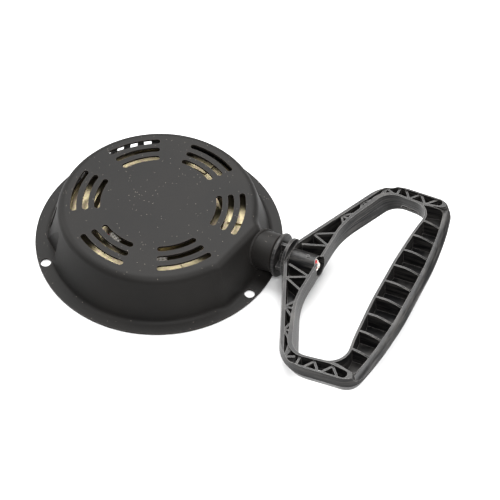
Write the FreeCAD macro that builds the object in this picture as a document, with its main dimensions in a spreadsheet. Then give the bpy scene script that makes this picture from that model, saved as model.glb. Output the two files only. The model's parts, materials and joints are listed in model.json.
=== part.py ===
# Recoil starter of a small engine, dome side up.
# Origin: centre of the mounting flange, on the plane that bolts to the engine. +Z points up through
# the dome, and +X points the way the rope is pulled. All lengths are in millimetres.
import FreeCAD, Part
import Sketcher
import math
import os
from FreeCAD import Placement, Rotation, Vector

doc = FreeCAD.newDocument("recoil_starter")

# ------------------------------------------------------------------ driving dimensions
DRIVING = {
    # pressed steel case
    "flange_radius": 84.0,
    "case_sheet": 1.5,
    "case_height": 33.0,
    "dome_radius": 65.4,          # plan radius of the wall at the height of the top face
    "wall_flare": 10.6,           # how much further out the wall stands at the flange
    "shoulder_radius": 5.5,
    "foot_radius": 3.0,
    "bolt_circle_radius": 79.4,
    "bolt_hole_radius": 3.5,
    "first_bolt_angle": 108.0,
    "facet_distance": 64.4,       # flat face for the rope outlet, from the axis at the top
    "facet_angle": -9.0,
    "top_slot_width": 4.0,
    "top_slot_rows": 3,
    "top_slot_outer_row": 55.9,
    "top_slot_row_pitch": 7.8,
    "top_slot_half_angle": 18.9,
    "top_slot_groups": 6,
    "first_group_angle": 18.0,
    "vent_count": 11,
    "vent_pitch": 8.2,
    "vent_width": 5.4,
    "vent_middle_angle": 168.0,
    "vent_bottom": 4.0,
    "vent_top": 27.0,
    # the line the rope is pulled along
    "rim_x": 84.3,
    "rim_y": 10.7,
    "rim_z": 17.0,
    "pull_pitch": 8.6,
    "tube_radius": 13.0,
    "tube_wall": 2.4,
    "tube_length": 20.0,
    # rope
    "rope_radius": 2.5,
    "rope_level": 13.4,
    "coil_first_radius": 20.8,
    "coil_pitch": 5.15,
    "coil_half_turns": 8,
    "guide_bend_radius": 16.0,
    # centre post and its bearing
    "post_radius": 6.0,
    "anchor_radius": 8.0,
    "post_end": 2.9,
    "anchor_end": 21.0,
    "running_gap": 0.06,
    "bushing_wall": 1.94,
    # reel
    "reel_sheet": 1.2,
    "reel_outer_radius": 61.0,
    "reel_step_radius": 43.0,
    "reel_step_rise": 4.0,
    "reel_rim_rise": 3.0,
    "groove_floor_radius": 16.6,
    "groove_bottom": 10.2,
    "groove_top": 16.6,
    "lower_plate_radius": 46.0,
    "reel_windows": 6,
    # spring
    "cup_radius": 29.0,
    "cup_height": 11.2,
    "spring_strip": 0.8,
    "spring_turns": 7,
    "spring_height": 7.6,
    # pawls
    "pawl_pivot_radius": 20.0,
    "pawl_pin_radius": 2.5,
    "pawl_thick": 3.0,
    "pawl_foot_radius": 1.3,
    "pawl_swing": 25.0,
    "plate_turn": 30.0,
    "friction_plate_thick": 1.2,
    "friction_plate_level": 3.6,
    "friction_plate_radius": 23.0,
    "hex_socket_radius": 2.9,
    # handle, along the pull line from the tube's rim
    "handle_thick": 13.5,
    "handle_web": 2.0,
    "top_draft": 1.2,
    "bottom_draft": 2.9,
    "handle_half_span": 84.0,
    "arm_nose": 7.5,
    "arm_slope": 0.452,
    "nose_half_width": 8.0,
    "grip_apex": 98.9,
    "grip_bow": 470.0,
    "hold_apex": 73.9,
    "hold_bow": 600.0,
    "grip_ribs": 9,
    "grip_rib_pitch": 14.4,
    "rib_width": 1.3,
    "flange_disc_radius": 14.8,
    "collar_radius": 13.2,
    "boss_radius": 7.0,
    "knot_pocket_radius": 6.0,
    "lip_start": 26.2,
    "lip_lean": 20.0,
}

sheet = doc.addObject("Spreadsheet::Sheet", "Sizes")
for row, (alias, number) in enumerate(DRIVING.items(), start=1):
    sheet.set(f"A{row}", alias)
    sheet.set(f"B{row}", str(number))
    sheet.setAlias(f"B{row}", alias)
doc.recompute()


class Size:
    """A length or angle that knows both its number and the sheet expression behind it."""

    def __init__(self, value, text):
        self.value = value
        self.text = text

    def join(self, other, sign, value):
        other_text = other.text if isinstance(other, Size) else str(other)
        return Size(value, f"({self.text} {sign} {other_text})")

    def __add__(self, other):
        return self.join(other, "+", self.value + number_of(other))

    def __sub__(self, other):
        return self.join(other, "-", self.value - number_of(other))

    def __mul__(self, other):
        return self.join(other, "*", self.value * number_of(other))

    def __truediv__(self, other):
        return self.join(other, "/", self.value / number_of(other))


def number_of(size):
    """The plain number of a Size, or of a number."""
    return size.value if isinstance(size, Size) else float(size)


def cell(alias):
    """One driving dimension, as a Size."""
    return Size(float(sheet.get(alias)), f"{sheet.Name}.{alias}")


def val(alias):
    """One driving dimension, as a number."""
    return float(sheet.get(alias))


def bind(thing, prop, size):
    """Ties a property to the sheet, or sets it where the size is a plain number."""
    if isinstance(size, Size):
        thing.setExpression(prop, size.text)
    else:
        setattr(thing, prop, size)


# ------------------------------------------------------------------ helpers for bodies and sketches
def new_body(label):
    body = doc.addObject("PartDesign::Body", label)
    body.Label = label
    return body


def origin_feature(body, role):
    return next(f for f in body.Origin.OriginFeatures if f.Role == role)


def new_sketch(body, role, name, height=0.0):
    sketch = body.newObject("Sketcher::SketchObject", name)
    sketch.AttachmentSupport = [(origin_feature(body, role), "")]
    sketch.MapMode = "FlatFace"
    if isinstance(height, Size):
        sketch.setExpression("AttachmentOffset.Base.z", height.text)
    elif height:
        sketch.AttachmentOffset = Placement(Vector(0, 0, height), Rotation())
    return sketch


def draw_loop(sketch, corners):
    """A closed outline of straight lines, each corner tied to the sheet."""
    points = [Vector(number_of(x), number_of(y), 0) for x, y in corners]
    first = sketch.GeometryCount
    count = len(points)
    for i in range(count):
        sketch.addGeometry(Part.LineSegment(points[i], points[(i + 1) % count]))
    for i, (x, y) in enumerate(corners):
        line = first + i
        following = first + (i + 1) % count
        sketch.addConstraint(Sketcher.Constraint("Coincident", line, 2, following, 1))
        for kind, size in (("DistanceX", x), ("DistanceY", y)):
            index = sketch.addConstraint(Sketcher.Constraint(kind, -1, 1, line, 1, number_of(size)))
            if isinstance(size, Size):
                sketch.setExpression(f"Constraints[{index}]", size.text)


def draw_circle(sketch, x, y, radius):
    """A circle whose centre and radius are tied to the sheet."""
    middle = Vector(number_of(x), number_of(y), 0)
    circle = sketch.addGeometry(Part.Circle(middle, Vector(0, 0, 1), number_of(radius)))
    for kind, size in (("DistanceX", x), ("DistanceY", y)):
        index = sketch.addConstraint(Sketcher.Constraint(kind, -1, 1, circle, 3, number_of(size)))
        if isinstance(size, Size):
            sketch.setExpression(f"Constraints[{index}]", size.text)
    index = sketch.addConstraint(Sketcher.Constraint("Radius", circle, number_of(radius)))
    if isinstance(radius, Size):
        sketch.setExpression(f"Constraints[{index}]", radius.text)


def turned(label, corners):
    """A body turned about Z from a half section of (radius, height) corners."""
    body = new_body(label)
    sketch = new_sketch(body, "XZ_Plane", label + "_section")
    draw_loop(sketch, corners)
    turn = body.newObject("PartDesign::Revolution", label + "_turn")
    turn.Profile = sketch
    turn.ReferenceAxis = (sketch, ["V_Axis"])
    turn.Angle = 360
    body.Tip = turn
    doc.recompute()
    return body


def padded(body, sketch, name, length):
    pad = body.newObject("PartDesign::Pad", name)
    pad.Profile = sketch
    bind(pad, "Length", length)
    body.Tip = pad
    doc.recompute()
    return pad


def pocketed(body, sketch, name, length, upward):
    """Cuts the sketch's outline out of the body, and stops if nothing was cut."""
    before = body.Shape.Volume
    pocket = body.newObject("PartDesign::Pocket", name)
    pocket.Profile = sketch
    bind(pocket, "Length", length)
    pocket.Reversed = upward
    body.Tip = pocket
    doc.recompute()
    if body.Shape.Volume >= before - 0.01:
        raise RuntimeError(f"{name} cuts nothing")
    return pocket


def repeated(body, feature, name, count, angle=360.0):
    """Repeats a feature about the body's Z axis."""
    pattern = body.newObject("PartDesign::PolarPattern", name)
    pattern.Originals = [feature]
    pattern.Axis = (origin_feature(body, "Z_Axis"), [""])
    pattern.Angle = angle
    bind(pattern, "Occurrences", count)
    body.Tip = pattern
    doc.recompute()
    return pattern


def shaped(label, shape, placement=None):
    """A sub-part whose shape is made with Part's own functions."""
    feature = doc.addObject("Part::Feature", label)
    feature.Label = label
    feature.Shape = shape
    if placement:
        feature.Placement = placement
    return feature


def polar(radius, angle, height=0.0):
    a = math.radians(angle)
    return Vector(radius * math.cos(a), radius * math.sin(a), height)


def rounded_wire(corners, height=0.0):
    """A closed wire of straight lines whose corners, given as (x, y, radius), are rounded."""
    count = len(corners)
    joins = []
    for i in range(count):
        here = Vector(corners[i][0], corners[i][1], height)
        back = Vector(*corners[i - 1][:2], height) - here
        on = Vector(*corners[(i + 1) % count][:2], height) - here
        back.normalize()
        on.normalize()
        radius = corners[i][2]
        half = back.getAngle(on) / 2
        reach = radius / math.tan(half) if radius else 0.0
        bisector = (back + on).normalize()
        middle = here + bisector * (radius / math.sin(half) - radius) if radius else here
        joins.append((here + back * reach, middle, here + on * reach))
    edges = []
    for i in range(count):
        start, middle, end = joins[i]
        if (end - start).Length > 1e-6:
            edges.append(Part.Arc(start, middle, end).toShape())
        following = joins[(i + 1) % count][0]
        if (following - end).Length > 1e-6:
            edges.append(Part.LineSegment(end, following).toShape())
    return Part.Wire(edges)


def block(wire, height):
    """A wire's area raised by a height along Z."""
    return Part.Face(wire).extrude(Vector(0, 0, height))


def rope_along(points, bend_radius):
    """A round rope along straight runs joined by tangent arcs."""
    edges = []
    start = points[0]
    for i in range(1, len(points) - 1):
        back = (points[i - 1] - points[i]).normalize()
        on = (points[i + 1] - points[i]).normalize()
        half = back.getAngle(on) / 2
        reach = bend_radius / math.tan(half)
        bisector = (back + on).normalize()
        middle = points[i] + bisector * (bend_radius / math.sin(half) - bend_radius)
        edges.append(Part.LineSegment(start, points[i] + back * reach).toShape())
        edges.append(Part.Arc(points[i] + back * reach, middle, points[i] + on * reach).toShape())
        start = points[i] + on * reach
    edges.append(Part.LineSegment(start, points[-1]).toShape())
    path = Part.Wire(edges)
    heading = (points[1] - points[0]).normalize()
    section = Part.Wire(Part.Circle(points[0], heading, val("rope_radius")).toShape())
    tube = path.makePipeShell([section], True, False)
    expected = math.pi * val("rope_radius") ** 2 * path.Length
    if abs(tube.Volume / expected - 1) > 0.02:
        raise RuntimeError("the rope's volume isn't its section times its length")
    print("rope run", round(path.Length, 1), "mm, bend radius", bend_radius)
    return tube


# ------------------------------------------------------------------ the pull line
RIM = Vector(val("rim_x"), val("rim_y"), val("rim_z"))
PITCH = math.radians(val("pull_pitch"))
PULL = Vector(math.cos(PITCH), 0, math.sin(PITCH))
# Pieces turned about Z are laid along the pull line by ALONG_PULL; flat mouldings by FLAT_ON_PULL.
ALONG_PULL = Placement(RIM, Rotation(Vector(0, 1, 0), 90 - val("pull_pitch")))
FLAT_ON_PULL = Placement(RIM, Rotation(Vector(0, 1, 0), -val("pull_pitch")))


def on_pull(distance):
    return RIM + PULL * distance


# ------------------------------------------------------------------ pressed steel case
def case_outline(grow, height):
    """Plan of the wall: a circle with a flat face for the outlet, all corners tangent.
    grow moves the whole outline outwards without moving any arc's centre."""
    radius = val("dome_radius") + grow
    face = val("facet_distance") + grow
    corner_radius = 5.0
    hollow_radius = 15.0
    turn = Rotation(Vector(0, 0, 1), val("facet_angle"))

    def flank(side, half_width):
        corner = Vector(val("facet_distance") - corner_radius, side * half_width, 0)
        reach = val("dome_radius") + hollow_radius
        between = corner_radius + hollow_radius
        far = corner.Length
        along = (reach ** 2 - between ** 2 + far ** 2) / (2 * far)
        across = math.sqrt(reach ** 2 - along ** 2)
        out = Vector(corner).normalize()
        aside = Vector(-out.y, out.x, 0) * side
        hollow = out * along + aside * across
        on_corner = corner + (hollow - corner).normalize() * (corner_radius + grow)
        on_circle = Vector(hollow).normalize() * radius
        return corner, hollow, on_corner, on_circle

    def arc(start, middle, end, centre, size):
        bow = centre + (middle - centre).normalize() * size
        return Part.Arc(start, bow, end)

    left = flank(1, 22.0)
    right = flank(-1, 17.5)
    edges = []
    for corner, hollow, on_corner, on_circle in (right, left):
        tip = Vector(face, corner.y, 0)
        pieces = [
            arc(on_circle, (on_circle + on_corner) / 2, on_corner, hollow, hollow_radius - grow),
            arc(on_corner, (on_corner + tip) / 2, tip, corner, corner_radius + grow),
        ]
        edges.append(pieces)
    (right_hollow, right_corner), (left_hollow, left_corner) = edges
    face_line = Part.LineSegment(Vector(face, right[0].y, 0), Vector(face, left[0].y, 0))
    back = Part.Arc(left[3], Vector(-radius, 0, 0), right[3])
    loop = [right_hollow, right_corner, face_line, left_corner, left_hollow, back]
    wire = Part.Wire([curve.toShape() for curve in loop])
    wire.Placement = Placement(Vector(0, 0, height), turn)
    return wire


def flared_block(thin, bottom, top, round_radius):
    """The dome as a solid block, pulled in by thin, with its top edge rounded."""
    slope = val("wall_flare") / val("case_height")
    low = case_outline((val("case_height") - bottom) * slope - thin, bottom)
    high = case_outline((val("case_height") - top) * slope - thin, top)
    solid = Part.makeLoft([low, high], True, True)
    rim = [e for e in solid.Edges if all(abs(v.Z - top) < 1e-6 for v in e.Vertexes)
           and abs(e.CenterOfMass.z - top) < 1e-6]
    return solid.makeFillet(round_radius, rim)


def bolt_angles():
    return [val("first_bolt_angle") + 120 * i for i in range(3)]


def bolt_pocket(angle, thin):
    """The dent that gives a mounting bolt's head room, steep on its far side."""
    def plan(inner, height):
        corners = [polar(88, angle - 19), polar(inner + 7.0 - thin, angle - 18),
                   polar(inner - thin, angle + 1.0), polar(88, angle + 4.5 + thin)]
        points = [Vector(p.x, p.y, height) for p in corners]
        return Part.makePolygon(points + points[:1])

    low = plan(70.4, -5.0 if thin else val("case_sheet"))
    high = plan(66.6, 31.0)
    wedge = Part.makeLoft([low, high], True, True)
    inner_corner = polar(70.4 - thin, angle + 1.0)
    edges = [e for e in wedge.Edges if math.hypot(e.CenterOfMass.x, e.CenterOfMass.y) < 70.0
             and abs(e.Vertexes[0].Z - e.Vertexes[1].Z) > 20
             and (e.CenterOfMass - Vector(inner_corner.x, inner_corner.y, e.CenterOfMass.z)).Length < 4]
    return wedge.makeFillet(3.0, edges)


def top_slot(radius, angle):
    """One curved slot with round ends, through the top."""
    half = val("top_slot_width") / 2
    end = val("top_slot_half_angle") - math.degrees(half / radius)
    low = angle - end
    high = angle + end
    outer = radius + half
    inner = radius - half
    edges = [
        Part.Arc(polar(outer, low), polar(outer, angle), polar(outer, high)),
        Part.Arc(polar(outer, high), polar(radius, high) + polar(half, high + 90), polar(inner, high)),
        Part.Arc(polar(inner, high), polar(inner, angle), polar(inner, low)),
        Part.Arc(polar(inner, low), polar(radius, low) + polar(half, low - 90), polar(outer, low)),
    ]
    slot = block(Part.Wire([e.toShape() for e in edges]), 10.0)
    slot.translate(Vector(0, 0, val("case_height") - 5.0))
    return slot


def wall_vent(angle):
    """One upright slot with round ends, through the wall."""
    half = val("vent_width") / 2
    low = val("vent_bottom") + half
    high = val("vent_top") - half
    corners = [Vector(0, -half, low), Vector(0, half, low), Vector(0, half, high), Vector(0, -half, high)]
    edges = [
        Part.Arc(corners[0], Vector(0, 0, low - half), corners[1]).toShape(),
        Part.LineSegment(corners[1], corners[2]).toShape(),
        Part.Arc(corners[2], Vector(0, 0, high + half), corners[3]).toShape(),
        Part.LineSegment(corners[3], corners[0]).toShape(),
    ]
    vent = Part.Face(Part.Wire(edges)).extrude(Vector(24, 0, 0))
    vent.translate(Vector(58, 0, 0))
    vent.rotate(Vector(), Vector(0, 0, 1), angle)
    return vent


def on_rim(edge):
    """True for the flange's outer edge."""
    return abs(edge.BoundBox.XMax - val("flange_radius")) < 0.1


def make_case():
    skin = val("case_sheet")
    top = val("case_height")
    outside = flared_block(0.0, 0.0, top, val("shoulder_radius"))
    flange = Part.makeCylinder(val("flange_radius"), skin)
    shell = outside.fuse(flange).removeSplitter()
    # the drawn radius where the wall runs out into the flange
    foot = [e for e in shell.Edges if all(abs(v.Z - skin) < 1e-5 for v in e.Vertexes)
            and abs(e.CenterOfMass.z - skin) < 1e-5 and not on_rim(e)]
    shell = shell.makeFillet(val("foot_radius"), foot)
    # the third bolt stands clear of the wall, beside the rope outlet
    pockets = bolt_angles()[:2]
    for angle in pockets:
        shell = shell.cut(bolt_pocket(angle, 0.0))
    inside = flared_block(skin * 1.05, -1.0, top - skin, val("shoulder_radius") - skin)
    for angle in pockets:
        inside = inside.cut(bolt_pocket(angle, skin))
    shell = shell.cut(inside)
    cutters = []
    for row in range(int(val("top_slot_rows"))):
        radius = val("top_slot_outer_row") - row * val("top_slot_row_pitch")
        for group in range(int(val("top_slot_groups"))):
            cutters.append(top_slot(radius, val("first_group_angle") + 60 * group))
    first_vent = val("vent_middle_angle") - val("vent_pitch") * (val("vent_count") - 1) / 2
    for i in range(int(val("vent_count"))):
        cutters.append(wall_vent(first_vent + i * val("vent_pitch")))
    for angle in bolt_angles():
        spot = polar(val("bolt_circle_radius"), angle, -1.0)
        cutters.append(Part.makeCylinder(val("bolt_hole_radius"), 4.0, spot))
    mouth = Part.makeCylinder(val("tube_radius"), 40.0, on_pull(-30), PULL)
    cutters.append(mouth)
    return shell.cut(Part.Compound(cutters))


shaped("starter_case", make_case())


# ------------------------------------------------------------------ rope outlet
def make_outlet():
    """The short tube welded into the case's flat face, and the hard bush the rope runs over."""
    outer = cell("tube_radius")
    bore = cell("tube_radius") - cell("tube_wall")
    long = cell("tube_length")
    tube = turned("outlet_tube", [(bore, long * -1.0), (outer, long * -1.0), (outer, -0.8),
                                  (outer - 0.8, 0.0), (bore, 0.0)])
    tube.Placement = ALONG_PULL
    bush = turned("guide_bush", [(9.6, long * -1.0), (bore, long * -1.0),
                                 (bore, -1.4), (6.6, -1.4),
                                 (3.6, -4.0), (3.6, -7.0),
                                 (5.6, -12.0)])
    bush.Placement = ALONG_PULL


make_outlet()


# ------------------------------------------------------------------ centre post, spring and its cup
def make_post():
    """The post welded under the dome: spring anchor above, reel bearing below, tapped at its end."""
    ceiling = cell("case_height") - cell("case_sheet")
    shaft = cell("post_radius")
    anchor = cell("anchor_radius")
    foot = cell("post_end")
    thread = 3.0
    post = turned("centre_post", [
        (thread, foot), (shaft, foot), (shaft, cell("anchor_end")), (anchor, cell("anchor_end")),
        (anchor, ceiling - 1.6), (anchor + 8.0, ceiling - 1.6), (anchor + 8.0, ceiling),
        (0.0, ceiling), (0.0, foot + 14.0), (thread, foot + 14.0)])
    slit = new_sketch(post, "XY_Plane", "spring_slit", cell("anchor_end") + 0.2)
    draw_loop(slit, [(3.0, -0.7), (anchor + 1.0, -0.7),
                     (anchor + 1.0, 0.7), (3.0, 0.7)])
    pocketed(post, slit, "spring_slit_cut", ceiling - 1.8 - cell("anchor_end"), True)


def spiral_strip(first, last, turns, thick, height, level):
    """A flat coiled strip: half turns whose centres step along X, so each meets the next smoothly."""
    halves = int(turns * 2)
    step = (last - first) / halves

    def side(offset):
        edges = []
        for i in range(halves):
            radius = first + step * i + offset
            middle = step / 2 * (1 if i % 2 else -1)
            way = 1 if i % 2 == 0 else -1
            start = Vector(middle + way * radius, 0, level)
            crown = Vector(middle, way * radius, level)
            end = Vector(middle - way * radius, 0, level)
            edges.append(Part.Arc(start, crown, end).toShape())
        return edges

    inner = side(-thick / 2)
    outer = side(thick / 2)
    ends = [Part.LineSegment(inner[0].Vertexes[0].Point, outer[0].Vertexes[0].Point).toShape(),
            Part.LineSegment(inner[-1].Vertexes[-1].Point, outer[-1].Vertexes[-1].Point).toShape()]
    outline = Part.Wire(Part.__sortEdges__(inner + outer + ends))
    return Part.Face(outline).extrude(Vector(0, 0, height))


def make_spring():
    level = val("anchor_end") + 0.4
    first = val("anchor_radius") + 1.4
    last = val("cup_radius") - 2.2
    strip = spiral_strip(first, last, val("spring_turns"), val("spring_strip"), val("spring_height"), level)
    # the inner end turns in to the slit in the post
    hook = Part.makeBox(first - 4.0, val("spring_strip"), val("spring_height"),
                        Vector(4.0, -val("spring_strip") / 2, level))
    shaped("recoil_spring", strip.fuse(hook).removeSplitter())


def make_cup():
    floor = cell("groove_top") + cell("reel_sheet")
    outer = cell("cup_radius")
    inner = outer - 1.0
    lip = outer + 2.6
    top = floor + cell("cup_height")
    turned("spring_cup", [(9.0, floor), (outer, floor), (outer, top - 1.0), (lip, top - 1.0),
                          (lip, top), (inner, top), (inner, floor + 1.0), (9.0, floor + 1.0)])


make_post()
make_spring()
make_cup()


# ------------------------------------------------------------------ reel
def sector_sketch(body, name, inner, outer, level, half_angle, start_angle):
    """A sector between two radii, drawn with straight sides."""
    sketch = new_sketch(body, "XY_Plane", name + "_outline", level)
    a = math.radians(half_angle)
    turn = math.radians(start_angle)
    steps = ((inner, -a), (outer, -a), (outer, -a / 3), (outer, a / 3), (outer, a), (inner, a),
             (inner, a / 3), (inner, -a / 3))
    corners = []
    for radius, angle in steps:
        corners.append((radius * round(math.cos(angle + turn), 6), radius * round(math.sin(angle + turn), 6)))
    draw_loop(sketch, corners)
    return sketch


def make_reel():
    skin = cell("reel_sheet")
    low = cell("groove_top")
    step = cell("reel_step_radius")
    rise = cell("reel_step_rise")
    rim = cell("reel_outer_radius")
    core = cell("anchor_radius")
    raised = low + rise
    plate = turned("reel_upper_plate", [
        (core, low), (step, low), (step + 2.0, raised), (rim, raised),
        (rim, raised + cell("reel_rim_rise")), (rim - skin, raised + cell("reel_rim_rise")),
        (rim - skin, raised + skin), (step + 1.4, raised + skin), (step - 0.6, low + skin),
        (core, low + skin)])
    pads = sector_sketch(plate, "stiffening_pad", step + 3.4, rim - 3.0, raised + skin, 12.0, 30.0)
    pad = padded(plate, pads, "stiffening_pad", 1.3)
    repeated(plate, pad, "stiffening_pads", cell("reel_windows"))
    windows = sector_sketch(plate, "rope_window", cell("cup_radius") + 2.6, step - 3.0, low - 1.0, 9.0, 0.0)
    window = pocketed(plate, windows, "rope_window", skin + 2.0, True)
    repeated(plate, window, "rope_windows", cell("reel_windows"))
    bottom = cell("groove_bottom")
    lower = turned("reel_lower_plate", [
        (core, bottom - skin), (cell("lower_plate_radius"), bottom - skin),
        (cell("lower_plate_radius"), bottom), (core, bottom)])
    pins = new_sketch(lower, "XY_Plane", "pin_holes", bottom - skin - 1.0)
    pivot = cell("pawl_pivot_radius")
    draw_circle(pins, pivot, 0.0, cell("pawl_pin_radius") - 0.5)
    draw_circle(pins, pivot * -1.0, 0.0, cell("pawl_pin_radius") - 0.5)
    pocketed(lower, pins, "pin_holes_cut", 4.0, True)
    floor = cell("groove_floor_radius")
    turned("reel_hub", [(floor - 2.4, bottom), (floor, bottom), (floor, low), (floor - 2.4, low)])
    inner = cell("post_radius") + cell("running_gap")
    turned("reel_bushing", [(inner, bottom - 4.4), (core, bottom - 4.4), (core, low + skin + 2.8),
                            (inner, low + skin + 2.8)])
    rivets = new_body("reel_rivets")
    rivet_circle = floor - 6.0
    head_low = bottom - skin - 0.7
    section = new_sketch(rivets, "XY_Plane", "rivet_heads", head_low)
    for i in range(4):
        spot = polar(1.0, 45 + 90 * i)
        draw_circle(section, rivet_circle * round(spot.x, 6), rivet_circle * round(spot.y, 6), 1.5)
    padded(rivets, section, "rivet_shanks", low + skin - head_low)


make_reel()


# ------------------------------------------------------------------ rope
def make_coil():
    """The rope wound on the reel: half turns that grow by half a rope each, out to the guide."""
    level = val("rope_level")
    first = val("coil_first_radius")
    grow = val("coil_pitch") / 2
    halves = int(val("coil_half_turns"))
    bend = on_pull(-10)
    last = first + grow * (halves - 1)
    # the half turns' centres step from side to side, so that each one runs on into the next
    offset = grow / 2
    edges = []
    for i in range(halves):
        radius = first + grow * i
        way = 1 if i % 2 == 0 else -1
        middle = -offset * way
        start = Vector(middle + way * radius, 0, level)
        crown = Vector(middle, -way * radius, level)
        end = Vector(middle - way * radius, 0, level)
        edges.append(Part.Arc(start, crown, end).toShape())
    path = Part.Wire(edges)
    start_point = Vector(first - offset, 0, level)
    end_point = Vector(last + offset, 0, level)
    section = Part.Wire(Part.Circle(start_point, Vector(0, 1, 0), val("rope_radius")).toShape())
    coil = path.makePipeShell([section], True, False)
    expected = math.pi * val("rope_radius") ** 2 * path.Length
    print("coil", round(path.Length, 1), "mm long, volume ratio", round(coil.Volume / expected, 4))
    # The coil is turned until a straight line leaves its end for the guide. The outer half turn's
    # centre moves as the coil turns, so this takes a few rounds to settle.
    turn = 0.0
    for _ in range(8):
        centre = Rotation(Vector(0, 0, 1), turn).multVec(Vector(offset, 0, 0))
        to_bend = Vector(bend.x - centre.x, bend.y - centre.y, 0)
        turn = math.degrees(math.atan2(to_bend.y, to_bend.x) + math.acos(last / to_bend.Length))
    coil.rotate(Vector(), Vector(0, 0, 1), turn)
    leave = Rotation(Vector(0, 0, 1), turn).multVec(end_point)
    shaped("rope_coil", coil)
    start_spot = Rotation(Vector(0, 0, 1), turn).multVec(start_point)
    return leave, bend, start_spot


def make_rope_runs():
    """The run from the coil to the handle, in one stretch on each side of the tube's rim."""
    leave, bend, coil_start = make_coil()
    heading = (bend - leave).normalize()
    shaped("rope_lead", rope_along([leave + heading * 0.05, bend, on_pull(0)], val("guide_bend_radius")))
    shaped("rope_tail", rope_along([on_pull(0), on_pull(24.0)], 0.0))
    inward = Vector(coil_start.x, coil_start.y, 0).normalize()
    knot = Part.makeSphere(2.4, inward * (val("groove_floor_radius") - 5.2) + Vector(0, 0, val("rope_level")))
    end_angle = math.degrees(math.atan2(coil_start.y, coil_start.x))
    print("reel end of the rope at", round(end_angle, 1), "degrees")
    shaped("reel_knot", knot)


make_rope_runs()


# ------------------------------------------------------------------ handle
# The handle is drawn lying flat: u runs out along the pull line from the tube's rim, v to the side.
# Its outer faces lean in from the middle plane, where the two halves of its mould part.
HALF_THICK = val("handle_thick") / 2
POCKET_FLOOR = val("handle_web") - HALF_THICK


def bowed(apex, bow, v):
    """Where a shallow arc across the handle has got to, v to the side of its apex."""
    return apex + v * v / (2 * bow)


def both_sides(half):
    """A closed list of corners from those of one side."""
    other = [(u, -v, radius) for u, v, radius in half]
    return other + list(reversed(half))


def outer_corners():
    """The whole D on the middle plane."""
    tip = val("arm_nose") + val("arm_slope") * (val("handle_half_span") - val("nose_half_width"))
    grip = [(bowed(val("grip_apex"), -val("grip_bow"), v), v, 200.0) for v in (55.0, 25.0)]
    arm = [(val("arm_nose"), val("nose_half_width"), 4.0), (tip, val("handle_half_span"), 25.0)]
    return both_sides(arm + [(90.2, 81.0, 13.0)] + grip)


def opening_corners(arm_start, arm_tip, side_end):
    """The opening that the hand goes through, on one level."""
    hold = [(bowed(val("hold_apex"), val("hold_bow"), v), v, 150.0) for v in (50.0, 18.0)]
    return both_sides([(*arm_start, 60.0), (*arm_tip, 12.0), (*side_end, 12.0)] + hold)


def opening_block(outset=0.0):
    """The opening as a solid. The arms' inner faces lean into it towards the bottom."""
    reach = HALF_THICK + 1.0
    low = rounded_wire(opening_corners((30.1, 31.0), (51.0, 75.8), (79.0, 72.4)), -reach)
    high = rounded_wire(opening_corners((30.8, 36.0), (46.0, 74.0), (79.0, 70.2)), reach)
    if outset:
        low = low.makeOffset2D(outset)
        high = high.makeOffset2D(outset)
    return Part.makeLoft([low, high], True, True)


def handle_blank():
    """The D before anything is hollowed."""
    middle = rounded_wire(outer_corners())
    halves = []
    for side, draft in ((-1, val("bottom_draft")), (1, val("top_draft"))):
        edge = middle.makeOffset2D(-draft)
        edge.translate(Vector(0, 0, side * HALF_THICK))
        halves.append(Part.makeLoft([middle, edge], True, True))
    return halves[0].fuse(halves[1])


def grip_envelope():
    """What the grip's rounded section sweeps along its bow, with full height left everywhere else."""
    apex = val("grip_apex")
    top_edge = Vector(93.0, 0, 3.4)
    inner = Vector(60.0, 0, 1.0)
    nose = Vector(apex, 0, 0)
    under = Vector(apex - HALF_THICK, 0, -HALF_THICK)
    turn = HALF_THICK * math.sqrt(0.5)
    edges = [
        Part.Arc(inner, Vector(83.0, 0, HALF_THICK), top_edge),
        Part.Arc(top_edge, Vector(97.2, 0, 2.1), nose),
        Part.Arc(nose, Vector(apex - HALF_THICK + turn, 0, -turn), under),
        Part.LineSegment(under, Vector(60.0, 0, -HALF_THICK)),
        Part.LineSegment(Vector(60.0, 0, -HALF_THICK), inner),
    ]
    section = Part.Face(Part.Wire([e.toShape() for e in edges]))
    centre = Vector(apex - val("grip_bow"), 0, 0)
    sweep_angle = math.degrees(math.asin(90.0 / val("grip_bow")))
    section.rotate(centre, Vector(0, 0, 1), -sweep_angle)
    grip = section.revolve(centre, Vector(0, 0, 1), 2 * sweep_angle)
    height = 2 * HALF_THICK
    arms = Part.makeBox(75.0, 180.0, height, Vector(-3.0, -90.0, -HALF_THICK))
    envelope = [grip, arms]
    for side in (-1, 1):
        ends = []
        for level, reach in ((-HALF_THICK, 94.0), (HALF_THICK, 86.6)):
            corners = [(60.0, 70.0, 0.0), (reach, 73.6, 3.6), (reach + 2.0, 86.0, 0.0), (60.0, 86.0, 0.0)]
            ends.append(rounded_wire([(u, side * v, r) for u, v, r in corners], level))
        envelope.append(Part.makeLoft(ends, True, True))
    return envelope[0].fuse(envelope[1:])


def bar(start, end, width, low, high):
    """A thin upright rib from start to end."""
    along = Vector(end[0] - start[0], end[1] - start[1], 0)
    rib = Part.makeBox(along.Length, width, high - low, Vector(0, -width / 2, low))
    rib.rotate(Vector(), Vector(0, 0, 1), math.degrees(math.atan2(along.y, along.x)))
    rib.translate(Vector(start[0], start[1], 0))
    return rib


def truss_channel():
    """The channel round both arms and both short sides, with a round end beside the grip."""
    half = [(10.4, 7.0, 3.0), (44.6, 81.3, 13.0), (84.0, 79.4, 2.3), (84.0, 74.4, 2.3),
            (71.5, 72.7, 20.0), (43.3, 75.8, 13.7), (29.2, 36.4, 62.0)]
    outer = [(u, -v, r) for u, v, r in half]
    wire = rounded_wire(outer + list(reversed(half)))
    return block(wire, 2 * HALF_THICK)


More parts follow.
